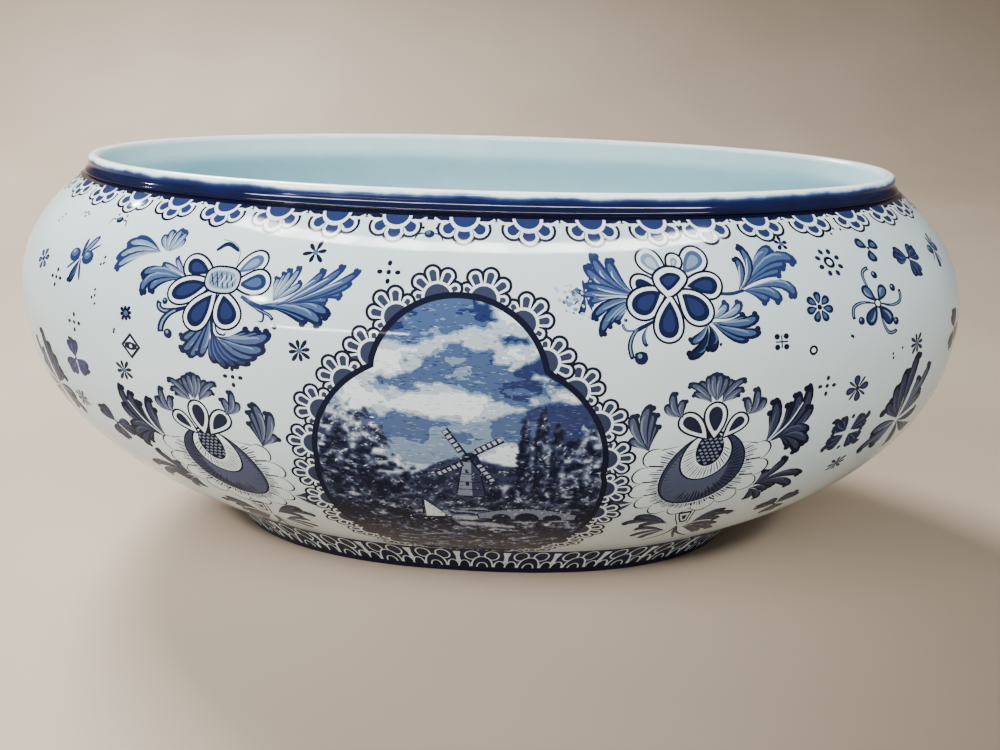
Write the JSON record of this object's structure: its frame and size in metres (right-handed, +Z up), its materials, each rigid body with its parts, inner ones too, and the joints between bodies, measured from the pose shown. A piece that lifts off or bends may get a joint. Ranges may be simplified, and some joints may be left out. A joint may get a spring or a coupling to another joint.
{
  "type": "jardiniere",
  "caption": "Oval footed jardiniere: a swelling glazed bowl on a flared foot ring, drawn in to a low collar with a rounded lip.",
  "frame": {"origin": "middle of the foot's resting plane", "axes": "+Z up, X along the long way of the oval, Y across it; the decorated front faces -Y"},
  "size_m": [0.41, 0.235, 0.172],
  "materials": {
    "body_glaze": "clear gloss glaze over a pale blue-white body printed in underglaze blue",
    "inner_glaze": "clear gloss glaze, pale aqua inside, with pooled darker patches",
    "collar_glaze": "clear gloss glaze over hand-banded cobalt that bleeds into the pale lip",
    "foot_glaze": "clear gloss glaze over a dark blue printed border of arcs"
  },
  "bodies": {
    "root": {"foot_ring": "foot_glaze", "bowl_floor": "inner_glaze", "bowl_flank": "body_glaze", "bowl_belly": "body_glaze", "bowl_shoulder": "body_glaze", "rim_collar": "collar_glaze"}
  },
  "joints": []
}
